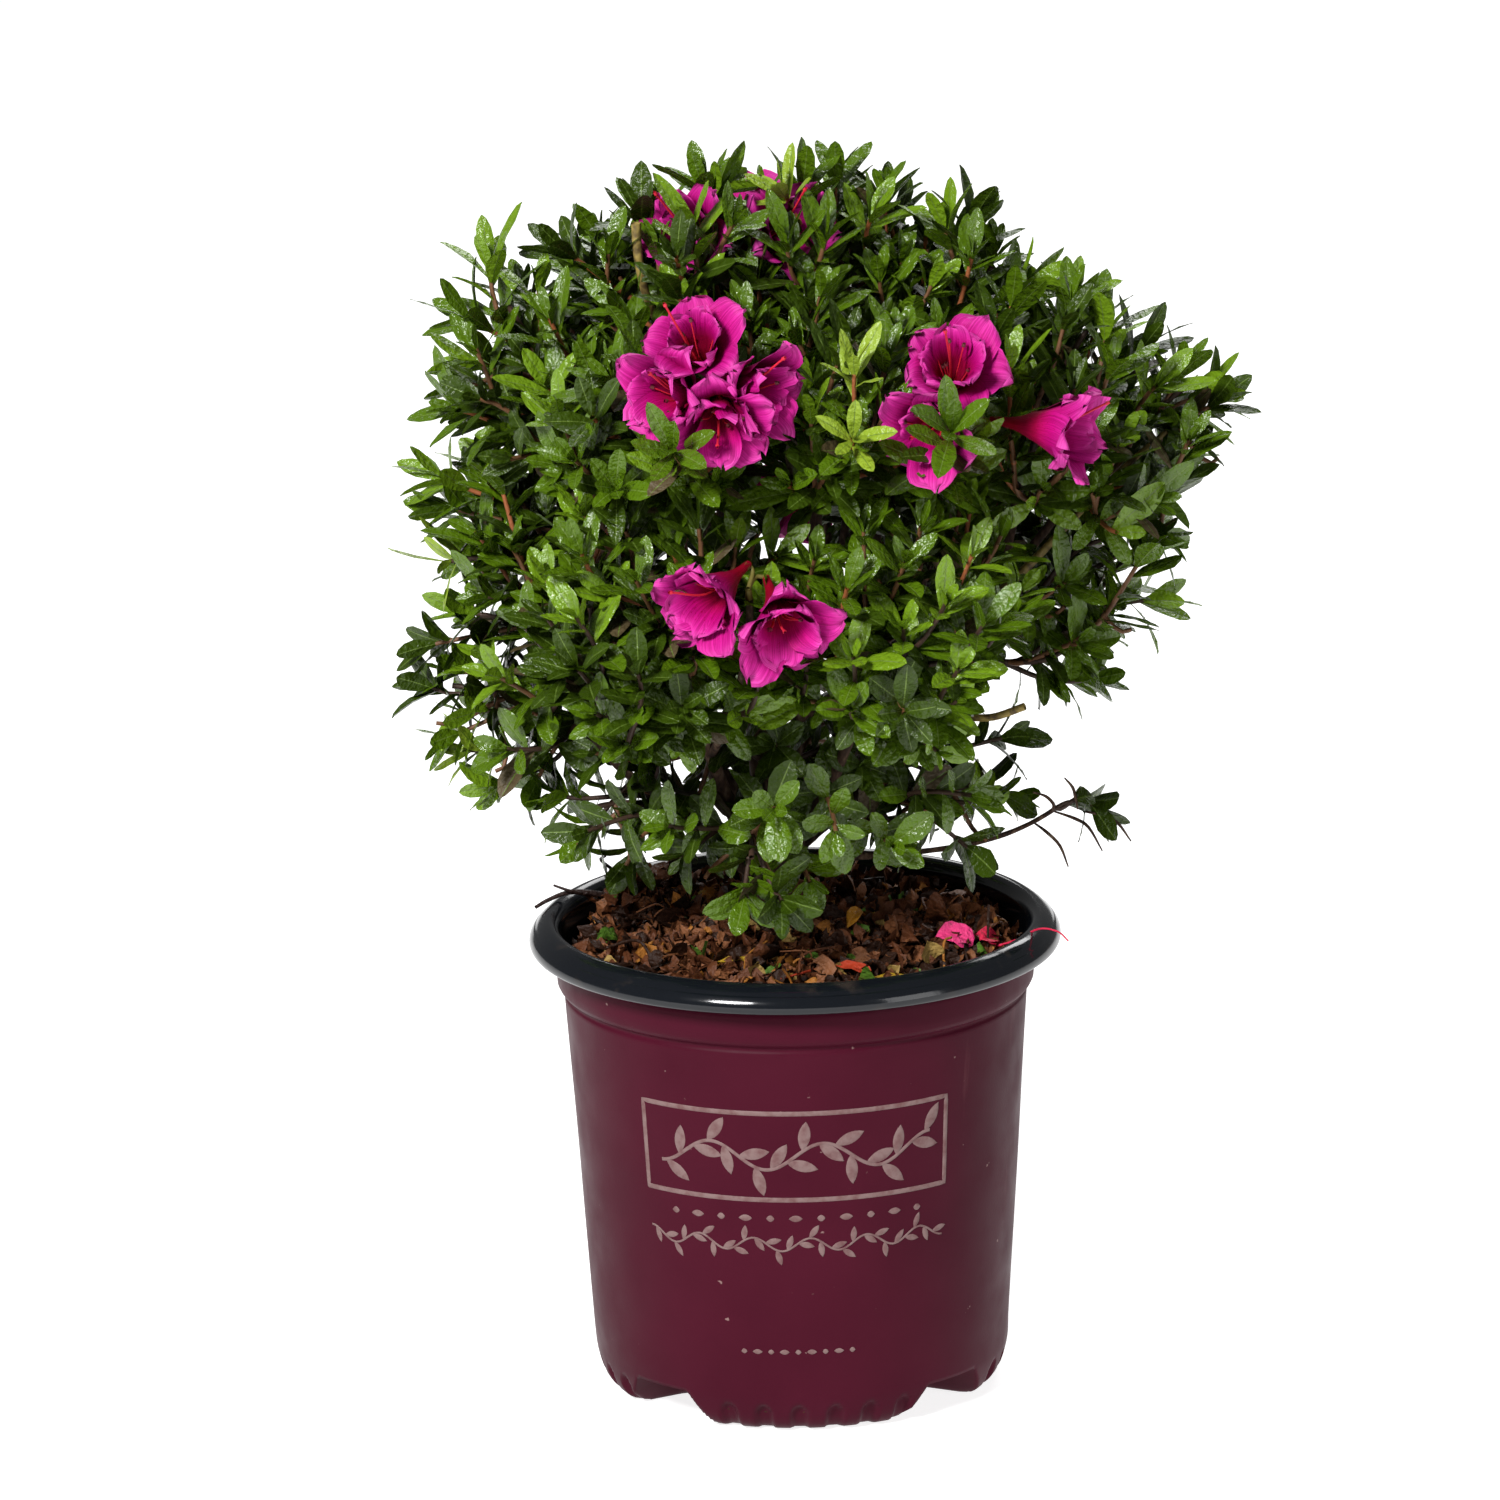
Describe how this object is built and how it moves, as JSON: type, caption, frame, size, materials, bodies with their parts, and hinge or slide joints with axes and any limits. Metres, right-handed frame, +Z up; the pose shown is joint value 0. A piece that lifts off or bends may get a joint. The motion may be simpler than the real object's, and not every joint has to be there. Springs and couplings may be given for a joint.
{
  "type": "potted azalea shrub",
  "caption": "Young azalea shrub with glossy leaves and magenta double flowers, growing in a round nursery pot with a rolled rim",
  "frame": {"origin": "centre of the pot's flat underside, on the surface it stands on", "axes": "+Z up along the pot's axis, -Y towards the front of the plant, +X to the right seen from the front"},
  "size_m": [0.3438, 0.29, 0.4886],
  "materials": {
    "pot_maroon": "satin maroon moulded plastic, black rim and inside",
    "potting_mix": "loose brown bark chips and dead leaves",
    "bark": "dark rough bark, redder on young wood",
    "leaf_green": "semi-gloss dark green leaves",
    "petal_pink": "soft matte magenta petals"
  },
  "bodies": {
    "root": {"pot": "pot_maroon", "potting_mix": "potting_mix", "trunk": "bark", "bough_top_left": "bark", "bough_top": "bark", "bough_upper_left": "bark", "bough_far_right": "bark", "bough_front_left": "bark", "bough_back_right": "bark", "bough_back_left": "bark", "bough_front_right": "bark", "bough_low_left": "bark", "bough_lower_right": "bark", "bough_lower_back": "bark", "bough_lower_front": "bark", "bough_lower_left": "bark", "bough_top_right": "bark", "bough_upper_right": "bark", "bough_right": "bark", "bough_left": "bark", "bough_upper_front_left": "bark", "bough_upper_front_right": "bark", "bough_upper_back_left": "bark", "bough_upper_back_right": "bark", "bough_stray_right": "bark", "bough_bloom_top": "bark", "bough_bloom_left": "bark", "bough_bloom_right": "bark", "bough_bloom_low": "bark", "bough_bloom_back_left": "bark", "bough_bloom_back_right": "bark", "leaves_top_left": "leaf_green", "leaves_top": "leaf_green", "leaves_upper_left": "leaf_green", "leaves_far_right": "leaf_green", "leaves_front_left": "leaf_green", "leaves_back_right": "leaf_green", "leaves_back_left": "leaf_green", "leaves_front_right": "leaf_green", "leaves_low_left": "leaf_green", "leaves_lower_right": "leaf_green", "leaves_lower_back": "leaf_green", "leaves_lower_front": "leaf_green", "leaves_lower_left": "leaf_green", "leaves_top_right": "leaf_green", "leaves_upper_right": "leaf_green", "leaves_right": "leaf_green", "leaves_left": "leaf_green", "leaves_upper_front_left": "leaf_green", "leaves_upper_front_right": "leaf_green", "leaves_upper_back_left": "leaf_green", "leaves_upper_back_right": "leaf_green", "leaves_stray_right": "leaf_green", "bloom_top": "petal_pink", "bloom_left": "petal_pink", "bloom_right": "petal_pink", "bloom_low": "petal_pink", "bloom_back_left": "petal_pink", "bloom_back_right": "petal_pink"}
  },
  "joints": []
}
